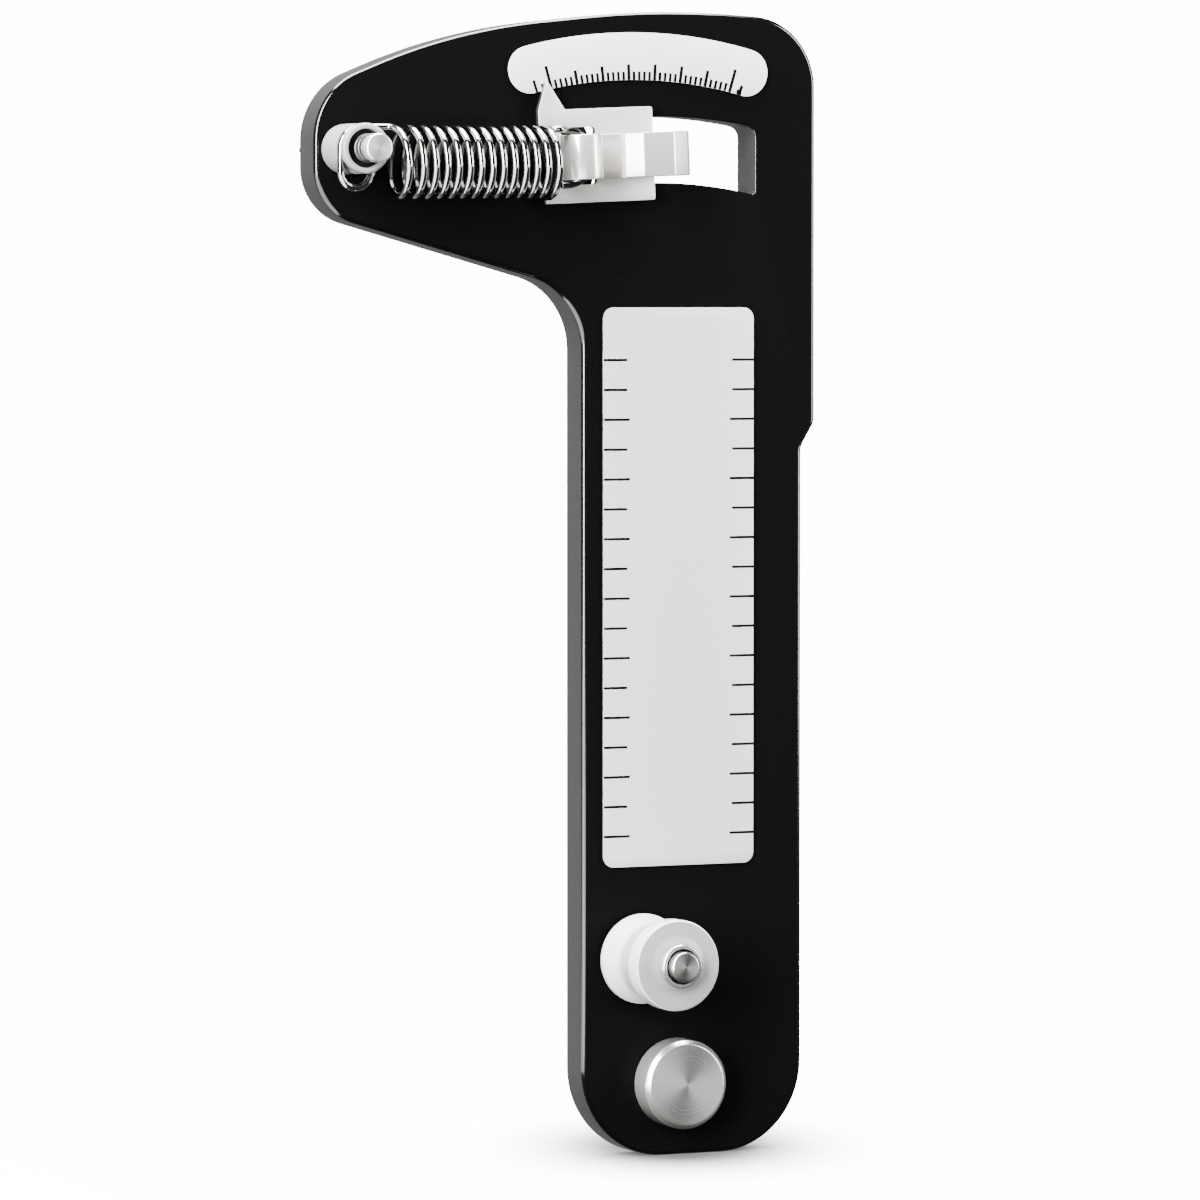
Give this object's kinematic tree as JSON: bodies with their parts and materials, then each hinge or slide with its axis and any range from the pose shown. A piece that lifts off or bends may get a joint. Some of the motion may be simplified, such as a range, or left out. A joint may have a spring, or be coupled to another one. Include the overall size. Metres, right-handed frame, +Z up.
{
  "type": "rigging tension gauge",
  "caption": "Rigging tension gauge: a black plate body with a sheave and a post at its foot, and a sprung hook above whose pointer reads a curved scale.",
  "frame": {"origin": "middle of the bounding box at its foot", "axes": "+Z up the stem, -Y out of the front face with the scale, +X to the viewer's right of that face"},
  "size_m": [0.1318, 0.0424, 0.2759],
  "materials": {
    "body_black": "black anodised, satin",
    "bright_sheet": "fine brushed sheet",
    "stainless": "bright stainless sheet",
    "turned_steel": "turned, bright",
    "zinc_steel": "zinc plated",
    "spring_steel": "bright drawn wire",
    "white_acetal": "white, machined",
    "black_acetal": "black, moulded"
  },
  "bodies": {
    "body": {"body_plate": "body_black", "tension_scale_plate": "bright_sheet", "conversion_chart_plate": "bright_sheet", "tension_spring": "spring_steel", "anchor_pin": "turned_steel", "anchor_washer": "zinc_steel", "anchor_rear_washer": "zinc_steel", "anchor_nut": "zinc_steel", "sheave_axle": "turned_steel", "sheave_washer": "zinc_steel", "sheave_rear_washer": "zinc_steel", "sheave_nut": "zinc_steel", "cable_post": "turned_steel", "cable_post_screw": "zinc_steel"},
    "slider": {"pointer_plate": "stainless", "cable_hook": "stainless", "hook_rivet_left": "turned_steel", "hook_rivet_right": "turned_steel", "guide_block": "black_acetal", "keeper_plate": "stainless", "slider_screw_lower": "zinc_steel", "slider_screw_upper": "zinc_steel"},
    "sheave": {"cable_sheave": "white_acetal", "sheave_bush": "turned_steel"},
    "bush": {"anchor_bush": "white_acetal"}
  },
  "joints": [
    {"name": "slider_swing", "type": "hinge", "parent": "body", "child": "slider", "pos_m": [0.02388, 0.00575, 0.1128], "axis": [0, 1, 0], "range_deg": [0, 19.4], "stiffness_Nm_per_rad": 12, "springref_deg": -5.16, "deforming": ["tension_spring"]},
    {"name": "sheave_spin", "type": "hinge", "parent": "body", "child": "sheave", "pos_m": [0.01827, 0.00575, 0.0482], "axis": [0, 1, 0], "continuous": true},
    {"name": "anchor_bush_spin", "type": "hinge", "parent": "body", "child": "bush", "pos_m": [-0.05942, 0.00575, 0.2421], "axis": [0, 1, 0], "continuous": true}
  ]
}
